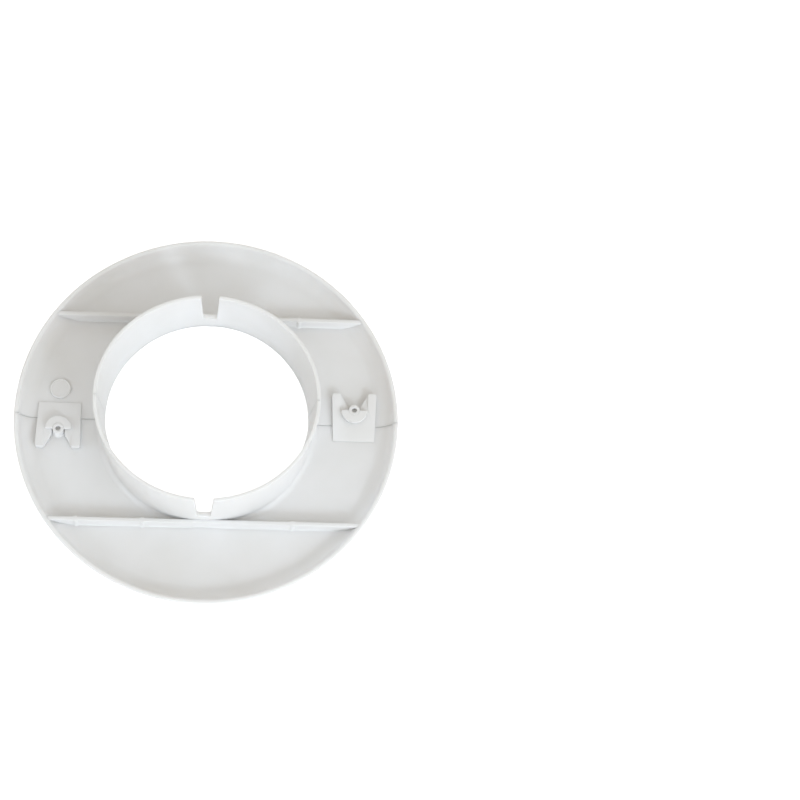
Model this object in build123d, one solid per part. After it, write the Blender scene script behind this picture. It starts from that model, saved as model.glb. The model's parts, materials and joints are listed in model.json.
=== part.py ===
from build123d import *
import math
import os

# A split cover ring for a cable hole, in millimetres. The front face lies on z = 0 and the collar points up.
# The halves part along the XZ plane: the upper half is on +Y, the lower half on -Y.

# Flange: a thin round cover plate with a rounded rim.
OUTER_RADIUS = 68.0
FLANGE_WALL = 1.5
RIM_ROUND = 6.4
RIM_SKIRT = 0.6
RIM_LIP_WIDTH = 1.6
RIM_INNER_ROUND = 6.2

# Bore and collar.
BORE_RADIUS = 36.0
LIP_ROUND = 4.0
COLLAR_WALL = 1.8
COLLAR_EDGE_WALL = 1.2
TOTAL_HEIGHT = 28.8
COLLAR_LAND_TOP = 11.5
COLLAR_SPLAY_X = 1.6
COLLAR_SPLAY_Y = -0.4
SLOT_MOUTH_WIDTH = 6.4
SLOT_BOTTOM_WIDTH = 4.8
SLOT_DEPTH = 18.1
SLOT_CORNER = 0.9

# The parting line between the halves: half of this gap belongs to each half.
SPLIT_GAP = 0.12

# Straight rib across each half, tangent to the collar, with round bosses where it was pushed out of its tool.
RIB_THICKNESS = 1.4
RIB_HEIGHT = 5.0
RIB_INTO_COLLAR = 0.2
RIB_BOSS_RADIUS = 1.1
UPPER_BOSS_PLACES = (32.0,)
LOWER_BOSS_PLACES = (-44.6, -21.6, 31.0)

# Clip: a fork on one half takes the post on the other, and a half-round keeper on the post holds the fork down.
CLIP_OFFSET = 52.4
FORK_ROOT_WIDTH = 14.8
FORK_TIP_WIDTH = 15.9
FORK_ROOT = 5.8
FORK_REACH = 11.3
FORK_ROOT_HEIGHT = 0.3
FORK_TIP_HEIGHT = 3.3
FORK_THROAT_REACH = 1.6
FORK_FLOOR_HEIGHT = 1.8
FORK_RECESS_RADIUS = 5.2
FORK_CORNER = 0.8
POST_OFFSET = 4.9
POST_RADIUS = 2.0
POST_BORE_RADIUS = 0.9
POST_BORE_DEPTH = 2.0
POST_HEIGHT = 3.8
KEEPER_RADIUS = 4.6
POST_CLEARANCE = 0.3
KEEPER_CLEARANCE = 0.3
FORK_CLEARANCE = 0.25

# Round pad where the moulding was pushed out of its tool, on the upper half only.
PAD_RADIUS = 3.6
PAD_HEIGHT = 0.6
PAD_DISH = 0.2
PAD_LIP = 0.5
PAD_CENTRE = (-52.5, 11.2)

# Levels and radii that follow from the sizes above.
RIM_LEVEL = RIM_ROUND + RIM_SKIRT
RIM_CENTRE_RADIUS = OUTER_RADIUS - RIM_ROUND
LIP_CENTRE_RADIUS = BORE_RADIUS + LIP_ROUND
COLLAR_RADIUS = BORE_RADIUS + COLLAR_WALL
COLLAR_FILLET = LIP_CENTRE_RADIUS - COLLAR_RADIUS
FLOOR_LEVEL = FLANGE_WALL
COLLAR_FILLET_LEVEL = FLOOR_LEVEL + COLLAR_FILLET
RIM_INNER_RADIUS = OUTER_RADIUS - RIM_LIP_WIDTH
RIM_INNER_LEVEL = FLOOR_LEVEL + RIM_INNER_ROUND
RIM_INNER_SWEEP = math.degrees(math.acos((RIM_INNER_LEVEL - RIM_LEVEL) / RIM_INNER_ROUND))
RIM_INNER_CENTRE_RADIUS = RIM_INNER_RADIUS - RIM_INNER_ROUND * math.sin(math.radians(RIM_INNER_SWEEP))
RIB_MIDDLE = COLLAR_RADIUS - RIB_INTO_COLLAR + RIB_THICKNESS / 2
FORK_FLOOR_TOP = FLOOR_LEVEL + FORK_CLEARANCE + FORK_FLOOR_HEIGHT
FORK_OPENING = KEEPER_RADIUS + KEEPER_CLEARANCE
POST_TOP = FLOOR_LEVEL + POST_HEIGHT
KEEPER_FOOT = FORK_FLOOR_TOP + FORK_CLEARANCE
SLOT_BOTTOM = TOTAL_HEIGHT - SLOT_DEPTH
# A length that reaches past the whole ring, for the blocks that cut it.
REACH = 2 * OUTER_RADIUS


def bend(centre, radius, start_angle, sweep):
    """An arc in the radius and height plane, angles in degrees."""
    return CenterArc(centre, radius, start_angle, sweep)


def ring(edges):
    """The full ring whose section is bounded by these edges, given as radius and height."""
    return revolve(Plane.XZ * make_face(edges), Axis.Z, 360)


def standing(radius, height):
    """A cylinder that stands on z = 0."""
    return Cylinder(radius, height, align=(Align.CENTER, Align.CENTER, Align.MIN))


def half_space():
    """The block that holds everything on the +Y side of the parting line."""
    return Pos(0, REACH / 2 + SPLIT_GAP / 2, 0) * Box(2 * REACH, REACH, 2 * REACH)


def flange_ring():
    """The cover plate, its rounded rim and the rounded lip that turns up into the bore."""
    edges = [
        Line((LIP_CENTRE_RADIUS, 0), (RIM_CENTRE_RADIUS, 0)),
        bend((RIM_CENTRE_RADIUS, RIM_ROUND), RIM_ROUND, -90, 90),
        Line((OUTER_RADIUS, RIM_ROUND), (OUTER_RADIUS, RIM_LEVEL)),
        Line((OUTER_RADIUS, RIM_LEVEL), (RIM_INNER_RADIUS, RIM_LEVEL)),
        bend((RIM_INNER_CENTRE_RADIUS, RIM_INNER_LEVEL), RIM_INNER_ROUND, RIM_INNER_SWEEP - 90, -RIM_INNER_SWEEP),
        Line((RIM_INNER_CENTRE_RADIUS, FLOOR_LEVEL), (LIP_CENTRE_RADIUS, FLOOR_LEVEL)),
        bend((LIP_CENTRE_RADIUS, COLLAR_FILLET_LEVEL), COLLAR_FILLET, -90, -90),
        Line((COLLAR_RADIUS, COLLAR_FILLET_LEVEL), (COLLAR_RADIUS, LIP_ROUND)),
        Line((COLLAR_RADIUS, LIP_ROUND), (BORE_RADIUS, LIP_ROUND)),
        bend((LIP_CENTRE_RADIUS, LIP_ROUND), LIP_ROUND, 180, 90),
    ]
    return ring(edges)


def hollow():
    """The space behind the cover plate, inside its rim."""
    edges = [
        Line((0, FLOOR_LEVEL), (RIM_INNER_CENTRE_RADIUS, FLOOR_LEVEL)),
        bend((RIM_INNER_CENTRE_RADIUS, RIM_INNER_LEVEL), RIM_INNER_ROUND, -90, RIM_INNER_SWEEP),
        Line((RIM_INNER_RADIUS, RIM_LEVEL), (RIM_INNER_RADIUS, REACH)),
        Line((RIM_INNER_RADIUS, REACH), (0, REACH)),
        Line((0, REACH), (0, FLOOR_LEVEL)),
    ]
    return ring(edges)


def splayed(base_radius, edge_x, edge_y):
    """The solid inside one skin of the collar: round up to its land, then opening to an oval edge."""
    land = Pos(0, 0, LIP_ROUND) * standing(base_radius, COLLAR_LAND_TOP - LIP_ROUND)
    bottom = Pos(0, 0, COLLAR_LAND_TOP) * Circle(base_radius)
    top = Pos(0, 0, TOTAL_HEIGHT) * Ellipse(edge_x, edge_y)
    return land + loft([bottom, top])


def slot():
    """The slot that parts a half collar into two fingers."""
    corners = [
        (-SLOT_BOTTOM_WIDTH / 2, SLOT_BOTTOM),
        (SLOT_BOTTOM_WIDTH / 2, SLOT_BOTTOM),
        (SLOT_MOUTH_WIDTH / 2, TOTAL_HEIGHT),
        (SLOT_MOUTH_WIDTH / 2, TOTAL_HEIGHT + LIP_ROUND),
        (-SLOT_MOUTH_WIDTH / 2, TOTAL_HEIGHT + LIP_ROUND),
        (-SLOT_MOUTH_WIDTH / 2, TOTAL_HEIGHT),
    ]
    block = extrude(Plane.XZ * make_face(Polyline(*corners, close=True)), -OUTER_RADIUS)
    low_edges = block.edges().filter_by(Axis.Y).group_by(Axis.Z)[0]
    return fillet(low_edges, SLOT_CORNER)


def half_collar():
    """The +Y half of the collar with its slot."""
    outer = splayed(COLLAR_RADIUS, COLLAR_RADIUS + COLLAR_SPLAY_X, COLLAR_RADIUS + COLLAR_SPLAY_Y)
    inner = splayed(
        BORE_RADIUS,
        COLLAR_RADIUS + COLLAR_SPLAY_X - COLLAR_EDGE_WALL,
        COLLAR_RADIUS + COLLAR_SPLAY_Y - COLLAR_EDGE_WALL,
    )
    return ((outer - inner) & half_space()) - slot()


def half_flange():
    """The +Y half of the flange."""
    return flange_ring() & half_space()


def chord_rib(boss_places):
    """The straight rib of the +Y half and its bosses, ending on the inside of the rim."""
    level = FLOOR_LEVEL + RIB_HEIGHT / 2
    rib = Pos(0, RIB_MIDDLE, level) * Box(2 * OUTER_RADIUS, RIB_THICKNESS, RIB_HEIGHT)
    for place in boss_places:
        rib += Pos(place, RIB_MIDDLE, FLOOR_LEVEL) * standing(RIB_BOSS_RADIUS, RIB_HEIGHT)
    return (rib & hollow()) - standing(COLLAR_RADIUS, TOTAL_HEIGHT) - flange_ring()


def fork_outline():
    """The fork's floor seen from above, with a mouth that narrows to the throat beside the post."""
    throat = POST_RADIUS + POST_CLEARANCE
    throat_y = -POST_OFFSET - FORK_THROAT_REACH
    right_side = [
        (FORK_ROOT_WIDTH / 2, FORK_ROOT),
        (FORK_TIP_WIDTH / 2, -FORK_REACH),
        (FORK_OPENING, -FORK_REACH),
        (throat, throat_y),
        (throat, -POST_OFFSET),
    ]
    left_side = [(-x, y) for x, y in reversed(right_side)]
    outline = make_face(Polyline(*right_side, *left_side, close=True))
    outline -= Pos(0, -POST_OFFSET) * Circle(throat)
    return fillet(outline.vertices().group_by(Axis.Y)[0], FORK_CORNER)


def clip_fork():
    """The +Y half's fork, centred on x = 0 and pointing to -Y: a ramp, opened above its floor for the keeper."""
    underside = FLOOR_LEVEL + FORK_CLEARANCE
    side = [
        (FORK_ROOT, FLOOR_LEVEL),
        (FORK_ROOT, FLOOR_LEVEL + FORK_ROOT_HEIGHT),
        (-FORK_REACH, FLOOR_LEVEL + FORK_TIP_HEIGHT),
        (-FORK_REACH, underside),
        (SPLIT_GAP / 2, underside),
        (SPLIT_GAP / 2, FLOOR_LEVEL),
    ]
    ramp = extrude(Plane.YZ * make_face(Polyline(*side, close=True)), FORK_TIP_WIDTH, both=True)
    fork = ramp & extrude(fork_outline(), TOTAL_HEIGHT)
    centre = Pos(0, -POST_OFFSET, FORK_FLOOR_TOP)
    recess = centre * standing(FORK_RECESS_RADIUS, TOTAL_HEIGHT)
    way_out = centre * Box(
        2 * FORK_OPENING, 2 * FORK_REACH, TOTAL_HEIGHT, align=(Align.CENTER, Align.MAX, Align.MIN)
    )
    return fork - recess - way_out


def post_keeper():
    """The half-round keeper on the post's side towards the parting line, over the other half's fork."""
    disc = standing(KEEPER_RADIUS, POST_TOP - KEEPER_FOOT)
    towards_split = Pos(0, -KEEPER_RADIUS, 0) * Box(4 * KEEPER_RADIUS, 2 * KEEPER_RADIUS, 4 * POST_TOP)
    return Pos(0, 0, KEEPER_FOOT) * ((disc & towards_split) - standing(POST_RADIUS, POST_TOP))


def snap_post():
    """The post that the other half's fork takes, with its blind bore, on the z axis."""
    bore = Pos(0, 0, POST_HEIGHT - POST_BORE_DEPTH) * standing(POST_BORE_RADIUS, POST_HEIGHT)
    return Pos(0, 0, FLOOR_LEVEL) * (standing(POST_RADIUS, POST_HEIGHT) - bore)


def round_pad():
    """The low round pad with its dished top, on the z axis."""
    dish = Pos(0, 0, PAD_HEIGHT - PAD_DISH) * standing(PAD_RADIUS - PAD_LIP, PAD_HEIGHT)
    return Pos(0, 0, FLOOR_LEVEL) * (standing(PAD_RADIUS, PAD_HEIGHT) - dish)


def half_members(boss_places):
    """Every member of one half moulding, on the +Y side."""
    post_place = Pos(CLIP_OFFSET, POST_OFFSET, 0)
    return {
        "flange": half_flange(),
        "collar": half_collar(),
        "chord_rib": chord_rib(boss_places),
        "clip_fork": Pos(-CLIP_OFFSET, 0, 0) * clip_fork(),
        "snap_post": post_place * snap_post(),
        "post_keeper": post_place * post_keeper(),
    }


def write_step(name, shape):
    """One file for each member, each named as its node."""
    shape.label = name
    export_step(shape, os.path.join("parts", name + ".step"))


os.makedirs("parts", exist_ok=True)
for name, shape in half_members(UPPER_BOSS_PLACES).items():
    write_step("upper_" + name, shape)
write_step("upper_round_pad", Pos(*PAD_CENTRE, 0) * round_pad())

turned_places = tuple(-place for place in LOWER_BOSS_PLACES)
for name, shape in half_members(turned_places).items():
    write_step("lower_" + name, Rot(0, 0, 180) * shape)
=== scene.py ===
import json
import math

import bmesh
import bpy
from mathutils import Matrix, Vector


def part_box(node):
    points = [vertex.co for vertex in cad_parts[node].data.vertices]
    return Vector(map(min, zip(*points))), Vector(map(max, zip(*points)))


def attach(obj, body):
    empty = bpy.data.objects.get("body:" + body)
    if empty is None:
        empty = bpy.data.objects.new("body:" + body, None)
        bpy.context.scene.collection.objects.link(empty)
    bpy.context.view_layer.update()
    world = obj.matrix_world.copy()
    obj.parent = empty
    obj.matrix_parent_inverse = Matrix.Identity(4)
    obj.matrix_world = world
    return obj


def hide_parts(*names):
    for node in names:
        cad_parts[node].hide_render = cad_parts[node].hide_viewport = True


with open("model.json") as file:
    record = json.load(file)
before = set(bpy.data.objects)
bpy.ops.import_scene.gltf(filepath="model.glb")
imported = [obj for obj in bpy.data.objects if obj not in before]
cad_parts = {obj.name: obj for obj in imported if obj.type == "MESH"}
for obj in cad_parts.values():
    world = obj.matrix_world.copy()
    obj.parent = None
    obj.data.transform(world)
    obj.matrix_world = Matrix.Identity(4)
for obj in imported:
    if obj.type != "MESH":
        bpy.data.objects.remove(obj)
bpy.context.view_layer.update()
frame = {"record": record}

# Lengths are in metres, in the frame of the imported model. +Z runs from the front face, on z = 0, to the
# collar's free edge, and X along the line where the halves part. Each half is made on +Y.
MM = 0.001


def mount_radius(name):
    """The radius that the record states for a round mount."""
    for mount in frame["record"]["mounts"]:
        if mount["name"] == name:
            return mount["dims"]["r_mm"] * MM
    raise KeyError(name)


# Read from the frame.
FLANGE_LOW, FLANGE_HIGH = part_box("upper_flange")
COLLAR_LOW, COLLAR_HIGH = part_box("upper_collar")
RIB_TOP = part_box("upper_chord_rib")[1][2]
FORK_LOW, FORK_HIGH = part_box("upper_clip_fork")
KEEPER_LOW, KEEPER_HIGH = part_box("upper_post_keeper")
POST_LOW, POST_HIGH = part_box("upper_snap_post")
PAD_LOW, PAD_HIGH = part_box("upper_round_pad")
OUTER_RADIUS = FLANGE_HIGH[0]
RIM_LEVEL = FLANGE_HIGH[2]
HALF_GAP = FLANGE_LOW[1]
FLOOR_LEVEL = POST_LOW[2]
BORE_RADIUS = mount_radius("cable_bore")
COLLAR_FOOT = COLLAR_LOW[2]
COLLAR_TOP = COLLAR_HIGH[2]
POST_OFFSET = (POST_LOW[1] + POST_HIGH[1]) / 2
POST_RADIUS = (POST_HIGH[0] - POST_LOW[0]) / 2
POST_TOP = POST_HIGH[2]
CLIP_OFFSET = (POST_LOW[0] + POST_HIGH[0]) / 2
KEEPER_RADIUS = (KEEPER_HIGH[0] - KEEPER_LOW[0]) / 2
KEEPER_FOOT = KEEPER_LOW[2]
FORK_ROOT = FORK_HIGH[1]
FORK_REACH = -FORK_LOW[1]
FORK_TOP = FORK_HIGH[2]
PAD_RADIUS = (PAD_HIGH[0] - PAD_LOW[0]) / 2
PAD_TOP = PAD_HIGH[2]

# The same sizes as in the part's source, which the frame doesn't give.
RIM_SKIRT = 0.6 * MM
RIM_ROUND = RIM_LEVEL - RIM_SKIRT
RIM_LIP_WIDTH = 1.6 * MM
RIM_INNER_ROUND = 6.2 * MM
RIM_INNER_RADIUS = OUTER_RADIUS - RIM_LIP_WIDTH
RIM_INNER_LEVEL = FLOOR_LEVEL + RIM_INNER_ROUND
RIM_INNER_CENTRE = RIM_INNER_RADIUS - math.sqrt(RIM_INNER_ROUND**2 - (RIM_INNER_LEVEL - RIM_LEVEL) ** 2)
LIP_ROUND = COLLAR_FOOT
COLLAR_WALL = 1.8 * MM
COLLAR_RADIUS = BORE_RADIUS + COLLAR_WALL
COLLAR_LAND_TOP = 11.5 * MM
COLLAR_EDGE_WALL = 1.2 * MM
SLOT_MOUTH_WIDTH = 6.4 * MM
SLOT_BOTTOM_WIDTH = 4.8 * MM
SLOT_DEPTH = 18.1 * MM
SLOT_BOTTOM = COLLAR_TOP - SLOT_DEPTH
SLOT_CORNER = 0.9 * MM
RIB_THICKNESS = 1.4 * MM
RIB_OFFSET = 0.5 * MM
RIB_MIDDLE = COLLAR_RADIUS + RIB_OFFSET
RIB_BOSS_RADIUS = 1.1 * MM
UPPER_BOSS_PLACES = (32.0 * MM,)
LOWER_BOSS_PLACES = (44.6 * MM, 21.6 * MM, -31.0 * MM)
FORK_ROOT_HEIGHT = 0.3 * MM
FORK_CLEARANCE = 0.25 * MM
FORK_FLOOR_TOP = KEEPER_FOOT - FORK_CLEARANCE
FORK_ROOT_WIDTH = 14.8 * MM
FORK_TIP_WIDTH = 15.9 * MM
KEEPER_CLEARANCE = 0.3 * MM
FORK_OPENING = KEEPER_RADIUS + KEEPER_CLEARANCE
FORK_RECESS_RADIUS = 5.2 * MM
FORK_THROAT_REACH = 1.6 * MM
FORK_THROAT = 2.3 * MM
FORK_CORNER = 0.8 * MM
POST_BORE_RADIUS = 0.9 * MM
POST_BORE_DEPTH = 2.0 * MM
PAD_DISH = 0.2 * MM
PAD_LIP = 0.5 * MM

# Moulding details that are too fine for the part's source.
EDGE_ROUND = 0.3 * MM
RIM_EDGE_ROUND = 0.5 * MM
RIM_LIP_DROP = 0.9 * MM
SEAM_ROUND = 0.06 * MM
ROOT_FILLET = 0.5 * MM
RIB_TOP_ROUND = 0.35 * MM
BORE_EDGE_ROUND = 0.15 * MM
POST_EDGE_ROUND = 0.25 * MM
PAD_EDGE_ROUND = 0.15 * MM
CLIP_EDGE_ROUND = 0.2 * MM

# How far a member's foot goes into the flange and a rib's ends into the rim, and how far the ramp that the
# fork is cut from reaches past its outline.
SUNK = 1.3 * MM
RIB_INTO_RIM = 0.25 * MM
FORK_PAST_ROOT = 0.4 * MM
FORK_PAST_TIP = 1.0 * MM

# Fineness of the meshes: steps along a quarter of the ring, rows up the collar, steps round a turned shape.
STATIONS = 72
SEAM_STEPS = 3
BRIDGE_ROWS = 10
FINGER_ROWS = 26
BRIDGE_COLUMNS = 6
CORNER_STEPS = 6
LATHE_STEPS = 64
# Points closer than this are one point, and faces smaller than this are none.
SAME_POINT = 1e-7
NO_AREA = 1e-14
# Edges that bend by more than these angles, in degrees, are shaded sharp, and rounded on the clips.
SHADED_SHARP = 40
CLIP_SHARP = 30


def arc(centre, radius, start, end, steps):
    """Points along an arc, angles in degrees, both ends included."""
    points = []
    for i in range(steps + 1):
        angle = math.radians(start + (end - start) * i / steps)
        points.append((centre[0] + radius * math.cos(angle), centre[1] + radius * math.sin(angle)))
    return points


def without_repeats(points):
    """The points with neighbours that coincide taken out."""
    kept = []
    for point in points:
        if not kept or math.dist(point, kept[-1]) > SAME_POINT:
            kept.append(point)
    if math.dist(kept[0], kept[-1]) < SAME_POINT:
        kept.pop()
    return kept


def inset(points, distance):
    """A closed outline moved inward by a small distance; the outline runs anticlockwise."""
    count = len(points)
    moved = []
    for i, point in enumerate(points):
        before = Vector(point) - Vector(points[i - 1])
        after = Vector(points[(i + 1) % count]) - Vector(point)
        along = (before.normalized() + after.normalized()).normalized()
        moved.append((point[0] - along.y * distance, point[1] + along.x * distance))
    return moved


def close_mesh(bm):
    """Merges coincident corners and turns every face outward."""
    bmesh.ops.remove_doubles(bm, verts=bm.verts, dist=SAME_POINT)
    bmesh.ops.recalc_face_normals(bm, faces=bm.faces)


def soften(bm, edges, width, segments=3):
    """Rounds these edges."""
    bmesh.ops.bevel(
        bm, geom=list(edges), offset=width, segments=segments, profile=0.5, affect="EDGES", clamp_overlap=True
    )


def sharp_edges(bm, angle, keep=lambda edge: True):
    """The edges whose faces meet at more than this angle in degrees."""
    limit = math.radians(angle)
    return [e for e in bm.edges if len(e.link_faces) == 2 and e.calc_face_angle(0) > limit and keep(e)]


def finish_piece(bm, name, node, body, turned, material):
    """Turns the mesh into a piece that rides on its body and stands for its node."""
    if turned:
        bmesh.ops.transform(bm, matrix=Matrix.Rotation(math.pi, 4, "Z"), verts=bm.verts)
    mesh = bpy.data.meshes.new(name)
    bm.to_mesh(mesh)
    bm.free()
    piece = bpy.data.objects.new(name, mesh)
    bpy.context.scene.collection.objects.link(piece)
    for polygon in mesh.polygons:
        polygon.use_smooth = True
    mesh.set_sharp_from_angle(angle=math.radians(SHADED_SHARP))
    mesh.materials.append(material)
    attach(piece, body)
    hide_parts(node)
    return piece


def flange_outline():
    """The flange's section as radius and height, anticlockwise from the bore's foot."""
    lip_centre = (BORE_RADIUS + LIP_ROUND, LIP_ROUND)
    rim_centre = (OUTER_RADIUS - RIM_ROUND, RIM_ROUND)
    # The inner curve rises to just below the lip, and an arc that starts along it rounds the lip.
    slope = math.acos((RIM_INNER_LEVEL - RIM_LEVEL + RIM_LIP_DROP) / RIM_INNER_ROUND)
    lip_round = RIM_LIP_DROP / (1 - math.cos(slope))
    lip_radius = RIM_INNER_CENTRE + (RIM_INNER_ROUND + lip_round) * math.sin(slope)
    edge = RIM_EDGE_ROUND
    fillet = LIP_ROUND - (COLLAR_RADIUS - BORE_RADIUS)
    points = arc(lip_centre, LIP_ROUND, 180, 270, 14)
    points += arc(rim_centre, RIM_ROUND, -90, 0, 20)
    points += arc((OUTER_RADIUS - edge, RIM_LEVEL - edge), edge, 0, 90, 5)
    points += arc((lip_radius, RIM_LEVEL - lip_round), lip_round, 90, 90 + math.degrees(slope), 8)
    points += arc((RIM_INNER_CENTRE, RIM_INNER_LEVEL), RIM_INNER_ROUND, math.degrees(slope) - 90, -90, 18)
    points += arc((lip_centre[0], FLOOR_LEVEL + fillet), fillet, 270, 180, 10)
    points.append((COLLAR_RADIUS, LIP_ROUND))
    return without_repeats(points)


def flange():
    """Half of the flange, swept about the bore from one parting face to the other."""
    outline = flange_outline()
    sections = []
    for i in range(SEAM_STEPS + 1):
        angle = math.radians(90 * i / SEAM_STEPS)
        shrink = SEAM_ROUND * (1 - math.sin(angle))
        y = HALF_GAP + SEAM_ROUND * (1 - math.cos(angle))
        sections.append([(math.sqrt(r * r - y * y), y, z) for r, z in inset(outline, shrink)])
    first = HALF_GAP + SEAM_ROUND
    middle = []
    for i in range(1, 2 * STATIONS):
        ring = []
        for r, z in outline:
            start = math.asin(first / r)
            angle = start + (math.pi - 2 * start) * i / (2 * STATIONS)
            ring.append((r * math.cos(angle), r * math.sin(angle), z))
        middle.append(ring)
    mirrored = [[(-x, y, z) for x, y, z in ring] for ring in reversed(sections)]
    return lofted(sections + middle + mirrored)


def lofted(sections):
    """A closed mesh through sections that have the same number of corners, with both ends filled."""
    bm = bmesh.new()
    rings = [[bm.verts.new(corner) for corner in ring] for ring in sections]
    count = len(rings[0])
    for low, high in zip(rings, rings[1:]):
        for i in range(count):
            j = (i + 1) % count
            bm.faces.new((low[i], low[j], high[j], high[i]))
    bm.faces.new(rings[0][::-1])
    bm.faces.new(rings[-1])
    close_mesh(bm)
    return bm


def splay(level):
    """How far the collar has opened at this height, from 0 at its land to 1 at its free edge."""
    return max(0.0, (level - COLLAR_LAND_TOP) / (COLLAR_TOP - COLLAR_LAND_TOP))


def collar_point(x_share, level, x, outside):
    """A point of the collar's outer or inner skin at this height, by share along a finger or by its x."""
    base = COLLAR_RADIUS if outside else BORE_RADIUS
    edge_wall = 0 if outside else COLLAR_EDGE_WALL
    opened = splay(level)
    a = base + (COLLAR_HIGH[0] - edge_wall - base) * opened
    b = base + (COLLAR_HIGH[1] - edge_wall - base) * opened
    if x is None:
        seam = math.asin(HALF_GAP / b)
        side = math.acos(slot_half_width(level) / a)
        angle = seam + (side - seam) * x_share
        return (a * math.cos(angle), b * math.sin(angle), level)
    return (x, b * math.sqrt(1 - (x / a) ** 2), level)


def slot_half_width(level):
    """Half the slot's width at this height; below the slot's corner it no longer narrows."""
    corner_top = SLOT_BOTTOM + SLOT_CORNER
    share = (max(level, corner_top) - SLOT_BOTTOM) / (COLLAR_TOP - SLOT_BOTTOM)
    return (SLOT_BOTTOM_WIDTH + (SLOT_MOUTH_WIDTH - SLOT_BOTTOM_WIDTH) * share) / 2


def collar():
    """Half of the collar: two fingers and the bridge below the slot between them."""
    corner_top = SLOT_BOTTOM + SLOT_CORNER
    half_width = slot_half_width(corner_top)
    levels = [COLLAR_FOOT + (corner_top - COLLAR_FOOT) * j / BRIDGE_ROWS for j in range(BRIDGE_ROWS + 1)]
    levels += [corner_top + (COLLAR_TOP - corner_top) * j / FINGER_ROWS for j in range(1, FINGER_ROWS + 1)]

    # The bridge's columns, closer together round the slot's corners.
    right = [half_width - SLOT_CORNER * (1 - math.cos(math.radians(a))) for a in range(0, 91, 15)]
    inner = right[-1]
    across = right + [inner * (1 - 2 * i / BRIDGE_COLUMNS) for i in range(1, BRIDGE_COLUMNS)]
    across += [-x for x in reversed(right)]

    def bridge_top(x):
        beyond = max(0.0, abs(x) - (half_width - SLOT_CORNER))
        return corner_top - math.sqrt(max(0.0, SLOT_CORNER**2 - beyond**2))

    bm = bmesh.new()

    def skin(outside):
        corners = {}

        def corner(key, place):
            if key not in corners:
                corners[key] = bm.verts.new(place)
            return corners[key]

        for sign in (1, -1):
            for j, level in enumerate(levels):
                for i in range(STATIONS + 1):
                    x, y, z = collar_point(i / STATIONS, level, None, outside)
                    corner(("finger", sign, i, j), (sign * x, y, z))
        for i, x in enumerate(across):
            for j in range(BRIDGE_ROWS + 1):
                level = COLLAR_FOOT + (bridge_top(x) - COLLAR_FOOT) * j / BRIDGE_ROWS
                place = collar_point(0, level, x, outside)
                key = ("bridge", i, j)
                if i == 0:
                    corners[key] = corners[("finger", 1, STATIONS, j)]
                elif i == len(across) - 1:
                    corners[key] = corners[("finger", -1, STATIONS, j)]
                else:
                    corner(key, place)
        grid = []
        for sign in (1, -1):
            for j in range(len(levels) - 1):
                for i in range(STATIONS):
                    keys = [("finger", sign, i + di, j + dj) for di, dj in ((0, 0), (1, 0), (1, 1), (0, 1))]
                    grid.append(keys)
        for i in range(len(across) - 1):
            for j in range(BRIDGE_ROWS):
                grid.append([("bridge", i + di, j + dj) for di, dj in ((0, 0), (1, 0), (1, 1), (0, 1))])
        return corners, grid

    outer, grid = skin(True)
    inner_skin, _ = skin(False)
    outer_faces = [bm.faces.new([outer[key] for key in keys]) for keys in grid]
    for keys in grid:
        bm.faces.new([inner_skin[key] for key in reversed(keys)])
    partner = {outer[key]: inner_skin[key] for key in outer}
    border = [e for e in bm.edges if len(e.link_faces) == 1 and e.link_faces[0] in set(outer_faces)]
    rounded = []
    for edge in border:
        a, b = edge.verts
        bm.faces.new((a, b, partner[b], partner[a]))
        if max(a.co.z, b.co.z) > COLLAR_FOOT + 1e-6:
            rounded.append(edge)
            rounded.append(bm.edges.get((partner[a], partner[b])))
    bmesh.ops.recalc_face_normals(bm, faces=bm.faces)
    soften(bm, rounded, EDGE_ROUND)
    return bm


def chord_rib(boss_places):
    """The straight rib with its foot fillet, rounded top and bosses, running into the rim."""
    half = RIB_THICKNESS / 2
    foot = FLOOR_LEVEL
    right = arc((half + ROOT_FILLET, foot + ROOT_FILLET), ROOT_FILLET, 270, 180, 5)
    right += arc((half - RIB_TOP_ROUND, RIB_TOP - RIB_TOP_ROUND), RIB_TOP_ROUND, 0, 90, 4)
    left = [(-y, z) for y, z in reversed(right)]
    section = without_repeats(right + left)
    section += [(-half - ROOT_FILLET, foot - SUNK), (half + ROOT_FILLET, foot - SUNK)]

    def end_x(y, z):
        drop = min(RIM_INNER_ROUND, RIM_INNER_LEVEL - z)
        radius = RIM_INNER_CENTRE + math.sqrt(RIM_INNER_ROUND**2 - drop**2) + RIB_INTO_RIM
        return math.sqrt(radius**2 - (RIB_MIDDLE + y) ** 2)

    rings = []
    for share in (-1, -0.8, -0.6, -0.4, -0.2, 0, 0.2, 0.4, 0.6, 0.8, 1):
        rings.append([(share * end_x(y, z), RIB_MIDDLE + y, z) for y, z in section])
    bm = lofted(rings)
    for place in boss_places:
        boss = bmesh.new()
        add_lathe(boss, round_post_profile(RIB_BOSS_RADIUS, 0, RIB_TOP, RIB_TOP_ROUND), (place, RIB_MIDDLE))
        bm = combined(bm, boss, "UNION")
    return bm


def round_post_profile(radius, bore, top, edge):
    """The section of a round post that stands on the flange: a foot fillet, and a rounded top edge."""
    foot = FLOOR_LEVEL
    profile = [(0, foot - SUNK), (radius + ROOT_FILLET, foot - SUNK)]
    profile += arc((radius + ROOT_FILLET, foot + ROOT_FILLET), ROOT_FILLET, 270, 180, 5)
    profile += arc((radius - edge, top - edge), edge, 0, 90, 4)
    if bore:
        profile += arc((bore + BORE_EDGE_ROUND, top - BORE_EDGE_ROUND), BORE_EDGE_ROUND, 90, 180, 3)
        profile += [(bore, top - POST_BORE_DEPTH), (0, top - POST_BORE_DEPTH)]
    else:
        profile.append((0, top))
    return without_repeats(profile)


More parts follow.
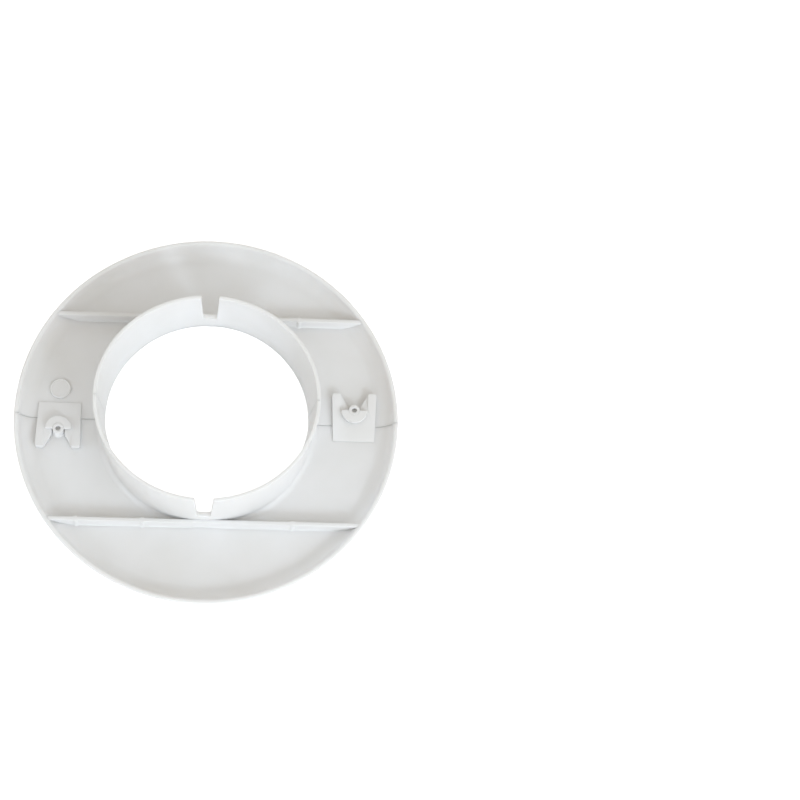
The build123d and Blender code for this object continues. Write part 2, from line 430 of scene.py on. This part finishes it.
def add_lathe(bm, profile, centre):
    """Adds a turned shape, given as radius and height from axis to axis, that stands at this centre."""
    rings = []
    for k in range(LATHE_STEPS):
        angle = 2 * math.pi * k / LATHE_STEPS
        ring = []
        for r, z in profile:
            ring.append(bm.verts.new((centre[0] + r * math.cos(angle), centre[1] + r * math.sin(angle), z)))
        rings.append(ring)
    for k in range(LATHE_STEPS):
        here, there = rings[k], rings[(k + 1) % LATHE_STEPS]
        for i in range(len(profile) - 1):
            bm.faces.new((here[i], there[i], there[i + 1], here[i + 1]))
    close_mesh(bm)
    slivers = [f for f in bm.faces if f.calc_area() < NO_AREA]
    bmesh.ops.delete(bm, geom=slivers, context="FACES_ONLY")


def prism(outline, low, high):
    """An upright prism over an outline seen from above."""
    return lofted([[(x, y, low) for x, y in outline], [(x, y, high) for x, y in outline]])


def combined(first, second, operation):
    """The first mesh cut by, kept inside or united with the second, as the operation says."""
    objects = []
    for bm in (first, second):
        mesh = bpy.data.meshes.new("work")
        bm.to_mesh(mesh)
        bm.free()
        objects.append(bpy.data.objects.new("work", mesh))
        bpy.context.scene.collection.objects.link(objects[-1])
    modifier = objects[0].modifiers.new("work", "BOOLEAN")
    modifier.operation = operation
    modifier.solver = "EXACT"
    modifier.object = objects[1]
    evaluated = objects[0].evaluated_get(bpy.context.evaluated_depsgraph_get())
    bm = bmesh.new()
    bm.from_mesh(evaluated.to_mesh())
    evaluated.to_mesh_clear()
    for work in objects:
        mesh = work.data
        bpy.data.objects.remove(work)
        bpy.data.meshes.remove(mesh)
    bmesh.ops.remove_doubles(bm, verts=bm.verts, dist=1e-6)
    bmesh.ops.dissolve_limit(bm, angle_limit=math.radians(0.5), verts=bm.verts, edges=bm.edges)
    return bm


def rounded_corners(corners, radius, which):
    """A closed outline with the corners numbered in which rounded to this radius."""
    points = []
    count = len(corners)
    for i, corner in enumerate(corners):
        if i not in which:
            points.append(corner)
            continue
        here = Vector(corner)
        back = (Vector(corners[i - 1]) - here).normalized()
        ahead = (Vector(corners[(i + 1) % count]) - here).normalized()
        half = back.angle(ahead) / 2
        reach = radius / math.tan(half)
        centre = here + (back + ahead).normalized() * radius / math.sin(half)
        start = here + back * reach - centre
        end = here + ahead * reach - centre
        turn = start.angle_signed(end)
        for k in range(CORNER_STEPS + 1):
            spoke = start.copy()
            spoke.rotate(Matrix.Rotation(-turn * k / CORNER_STEPS, 2))
            points.append(tuple(centre + spoke))
    return points


def fork_outline():
    """The fork from above, with its mouth, throat and nest, anticlockwise."""
    wide = FORK_TIP_WIDTH / 2
    root = FORK_ROOT_WIDTH / 2
    mouth = FORK_OPENING
    throat_y = -POST_OFFSET - FORK_THROAT_REACH
    corners = [
        (-wide, -FORK_REACH),
        (-mouth, -FORK_REACH),
        (-FORK_THROAT, throat_y),
        *arc((0, -POST_OFFSET), FORK_THROAT, 180, 0, 24),
        (FORK_THROAT, throat_y),
        (mouth, -FORK_REACH),
        (wide, -FORK_REACH),
        (root, FORK_ROOT),
        (-root, FORK_ROOT),
    ]
    last = len(corners)
    return rounded_corners(corners, FORK_CORNER, (0, 1, last - 4, last - 3))


def clip_fork():
    """The fork's ramp and prongs, opened above its floor for the keeper."""
    underside = FLOOR_LEVEL + FORK_CLEARANCE
    side = [
        (FORK_ROOT + FORK_PAST_ROOT, FLOOR_LEVEL - SUNK),
        (FORK_ROOT + FORK_PAST_ROOT, FLOOR_LEVEL + FORK_ROOT_HEIGHT),
        (-FORK_REACH - FORK_PAST_TIP, FORK_TOP),
        (-FORK_REACH - FORK_PAST_TIP, underside),
        (HALF_GAP, underside),
        (HALF_GAP, FLOOR_LEVEL - SUNK),
    ]
    ramp = lofted([[(x, y, z) for y, z in side] for x in (-FORK_TIP_WIDTH, FORK_TIP_WIDTH)])
    fork = combined(prism(fork_outline(), 0, RIM_LEVEL), ramp, "INTERSECT")
    dip = math.degrees(math.acos(FORK_OPENING / FORK_RECESS_RADIUS))
    opening = arc((0, -POST_OFFSET), FORK_RECESS_RADIUS, -dip, 180 + dip, 60)
    opening += [(-FORK_OPENING, -2 * FORK_REACH), (FORK_OPENING, -2 * FORK_REACH)]
    fork = combined(fork, prism(opening, FORK_FLOOR_TOP, 2 * RIM_LEVEL), "DIFFERENCE")
    above = FLOOR_LEVEL + 0.2 * MM
    rounded = sharp_edges(fork, CLIP_SHARP, lambda e: min(v.co.z for v in e.verts) > above)
    soften(fork, rounded, CLIP_EDGE_ROUND)
    bmesh.ops.translate(fork, vec=(-CLIP_OFFSET, 0, 0), verts=fork.verts)
    return fork


def post_keeper():
    """The half-round keeper beside the post."""
    outline = arc((0, 0), KEEPER_RADIUS, 180, 360, 40) + arc((0, 0), POST_RADIUS, 360, 180, 24)
    keeper = prism(outline, KEEPER_FOOT, POST_TOP)
    beyond_post = POST_RADIUS + 0.1 * MM
    rounded = sharp_edges(keeper, CLIP_SHARP, lambda e: max(v.co.xy.length for v in e.verts) > beyond_post)
    soften(keeper, rounded, CLIP_EDGE_ROUND)
    bmesh.ops.translate(keeper, vec=(CLIP_OFFSET, POST_OFFSET, 0), verts=keeper.verts)
    return keeper


def snap_post():
    """The hollow post."""
    bm = bmesh.new()
    profile = round_post_profile(POST_RADIUS, POST_BORE_RADIUS, POST_TOP, POST_EDGE_ROUND)
    add_lathe(bm, profile, (CLIP_OFFSET, POST_OFFSET))
    return bm


def round_pad():
    """The low round pad with its dished top."""
    edge = PAD_EDGE_ROUND
    dish = PAD_RADIUS - PAD_LIP
    profile = [(0, FLOOR_LEVEL - SUNK), (PAD_RADIUS + edge, FLOOR_LEVEL - SUNK)]
    profile += arc((PAD_RADIUS + edge, FLOOR_LEVEL + edge), edge, 270, 180, 4)
    profile += arc((PAD_RADIUS - edge, PAD_TOP - edge), edge, 0, 90, 4)
    profile += arc((dish + edge, PAD_TOP - edge), edge, 90, 180, 4)
    profile += [(dish - edge, PAD_TOP - PAD_DISH), (0, PAD_TOP - PAD_DISH)]
    bm = bmesh.new()
    centre = ((PAD_LOW[0] + PAD_HIGH[0]) / 2, (PAD_LOW[1] + PAD_HIGH[1]) / 2)
    add_lathe(bm, without_repeats(profile), centre)
    return bm


def white_plastic(name, glow, glow_depth):
    """Satin white moulded plastic: even colour with faint clouding, a fine moulded grain and slight waviness.

    Light spreads inside it, with this weight and to this depth, so that thin walls glow a little.
    """
    material = bpy.data.materials.new(name)
    material.use_nodes = True
    nodes = material.node_tree.nodes
    links = material.node_tree.links
    shader = nodes["Principled BSDF"]
    shader.inputs["IOR"].default_value = 1.49
    shader.inputs["Subsurface Weight"].default_value = glow
    shader.inputs["Subsurface Radius"].default_value = (1.0, 0.97, 0.95)
    shader.inputs["Subsurface Scale"].default_value = glow_depth
    place = nodes.new("ShaderNodeTexCoord").outputs["Object"]

    def noise(scale, detail, roughness=0.5):
        node = nodes.new("ShaderNodeTexNoise")
        node.inputs["Scale"].default_value = scale
        node.inputs["Detail"].default_value = detail
        node.inputs["Roughness"].default_value = roughness
        links.new(place, node.inputs["Vector"])
        return node.outputs["Fac"]

    def ramp(source, stops):
        node = nodes.new("ShaderNodeValToRGB")
        node.color_ramp.elements[0].position = stops[0][0]
        node.color_ramp.elements[0].color = (*stops[0][1], 1)
        node.color_ramp.elements[1].position = stops[1][0]
        node.color_ramp.elements[1].color = (*stops[1][1], 1)
        links.new(source, node.inputs["Fac"])
        return node.outputs["Color"]

    warm_white = (0.80, 0.80, 0.795)
    cool_white = (0.845, 0.845, 0.85)
    clouds = ramp(noise(45, 3), ((0.3, warm_white), (0.7, cool_white)))
    links.new(clouds, shader.inputs["Base Color"])

    roughness = nodes.new("ShaderNodeMapRange")
    roughness.inputs["To Min"].default_value = 0.36
    roughness.inputs["To Max"].default_value = 0.48
    links.new(noise(160, 4), roughness.inputs["Value"])
    links.new(roughness.outputs["Result"], shader.inputs["Roughness"])

    waves = nodes.new("ShaderNodeBump")
    waves.inputs["Strength"].default_value = 0.25
    waves.inputs["Distance"].default_value = 0.4 * MM
    links.new(noise(60, 1), waves.inputs["Height"])
    grain = nodes.new("ShaderNodeBump")
    grain.inputs["Strength"].default_value = 0.25
    grain.inputs["Distance"].default_value = 0.01 * MM
    links.new(noise(5000, 2), grain.inputs["Height"])
    links.new(waves.outputs["Normal"], grain.inputs["Normal"])
    links.new(grain.outputs["Normal"], shader.inputs["Normal"])
    return material


def floor_material():
    """A plain, nearly white studio surface."""
    material = bpy.data.materials.new("studio_white")
    material.use_nodes = True
    nodes = material.node_tree.nodes
    links = material.node_tree.links
    shader = nodes["Principled BSDF"]
    shader.inputs["Base Color"].default_value = (0.93, 0.93, 0.93, 1)
    shader.inputs["Roughness"].default_value = 0.9
    shader.inputs["Emission Color"].default_value = (1, 1, 1, 1)
    # The camera sees the floor as white, while the ring gets only a little of its light.
    path = nodes.new("ShaderNodeLightPath")
    strength = nodes.new("ShaderNodeMapRange")
    strength.inputs["To Min"].default_value = 0.06
    strength.inputs["To Max"].default_value = 0.7
    links.new(path.outputs["Is Camera Ray"], strength.inputs["Value"])
    links.new(strength.outputs["Result"], shader.inputs["Emission Strength"])
    return material


def studio_floor():
    """The pale surface that the ring lies on."""
    size = 6.0
    mesh = bpy.data.meshes.new("studio_floor")
    low = -0.02 * MM
    corners = [(-size, -size, low), (size, -size, low), (size, size, low), (-size, size, low)]
    mesh.from_pydata(corners, [], [(0, 1, 2, 3)])
    floor = bpy.data.objects.new("studio_floor", mesh)
    mesh.materials.append(floor_material())
    bpy.context.scene.collection.objects.link(floor)


def aimed(obj, place, target):
    """Puts an object at a place, looking at the target."""
    obj.location = place
    obj.rotation_euler = (Vector(target) - Vector(place)).to_track_quat("-Z", "Y").to_euler()
    bpy.context.scene.collection.objects.link(obj)


def softbox(name, place, size, power, colour):
    """A square soft lamp that looks at the ring."""
    lamp = bpy.data.lights.new(name, "AREA")
    lamp.shape = "SQUARE"
    lamp.size = size
    lamp.energy = power
    lamp.color = colour
    aimed(bpy.data.objects.new(name, lamp), place, (0, 0, 0))


def studio_light():
    """Soft lamps all round, strongest from the front right, and an even, slightly warm surround."""
    cool = (0.79, 0.89, 1.0)
    cooler = (0.66, 0.82, 1.0)
    softbox("front_right", (0.85, -0.75, 0.9), 0.9, 5.8, cool)
    softbox("key", (0.614, -1.064, 0.86), 0.3, 4.0, cool)
    softbox("front", (0, -1.2, 0.6), 0.9, 3.7, cool)
    softbox("left", (-1.1, -0.4, 0.8), 0.9, 4.2, cooler)
    softbox("right", (1.2, 0, 0.7), 0.9, 1.5, cooler)
    softbox("back", (0, 1.1, 0.9), 0.9, 3.2, cooler)
    world = bpy.data.worlds.new("studio")
    bpy.context.scene.world = world
    world.use_nodes = True
    background = world.node_tree.nodes["Background"]
    background.inputs["Color"].default_value = (1.0, 0.88, 0.71, 1)
    background.inputs["Strength"].default_value = 0.52


def studio_camera():
    """The camera looks down at the ring from the lower half's side, with the ring left of the middle."""
    elevation = math.radians(71.1)
    turn = math.radians(1.7)
    distance = 12.5 * OUTER_RADIUS
    frame_width = 284.8 * MM
    # In millimetres, as the camera's lens is.
    sensor_width = 36
    # How far the ring's middle lies from the middle of the frame, as shares of its width.
    left = 0.2411
    down = 0.0217
    data = bpy.data.cameras.new("studio_camera")
    data.sensor_width = sensor_width
    data.lens = sensor_width * distance / frame_width
    camera = bpy.data.objects.new("studio_camera", data)
    bpy.context.scene.collection.objects.link(camera)
    middle = Vector((0, 0, RIM_LEVEL))
    level = math.cos(elevation)
    place = middle + distance * Vector((level * math.sin(turn), -level * math.cos(turn), math.sin(elevation)))
    straight = (middle - place).to_track_quat("-Z", "Y").to_matrix()
    pan = Matrix.Rotation(-math.atan(left * frame_width / distance), 3, "Y")
    tilt = Matrix.Rotation(math.atan(down * frame_width / distance), 3, "X")
    camera.matrix_world = Matrix.Translation(place) @ (straight @ pan @ tilt).to_4x4()
    bpy.context.scene.camera = camera
    bpy.context.scene.view_settings.view_transform = "Standard"


def build_half(prefix, body, turned, boss_places):
    """Every member of one half moulding."""
    members = {
        "flange": flange(),
        "collar": collar(),
        "chord_rib": chord_rib(boss_places),
        "clip_fork": clip_fork(),
        "snap_post": snap_post(),
        "post_keeper": post_keeper(),
    }
    for member, bm in members.items():
        node = f"{prefix}_{member}"
        plastic = shell_plastic if member in ("flange", "collar") else clip_plastic
        finish_piece(bm, node + "_moulding", node, body, turned, plastic)


studio_camera()
studio_light()
studio_floor()
shell_plastic = white_plastic("white_plastic_shell", 0.7, 2.0 * MM)
clip_plastic = white_plastic("white_plastic_clip", 0.1, 0.5 * MM)
build_half("upper", "upper_half", False, UPPER_BOSS_PLACES)
build_half("lower", "lower_half", True, LOWER_BOSS_PLACES)
finish_piece(round_pad(), "upper_round_pad_moulding", "upper_round_pad", "upper_half", False, clip_plastic)
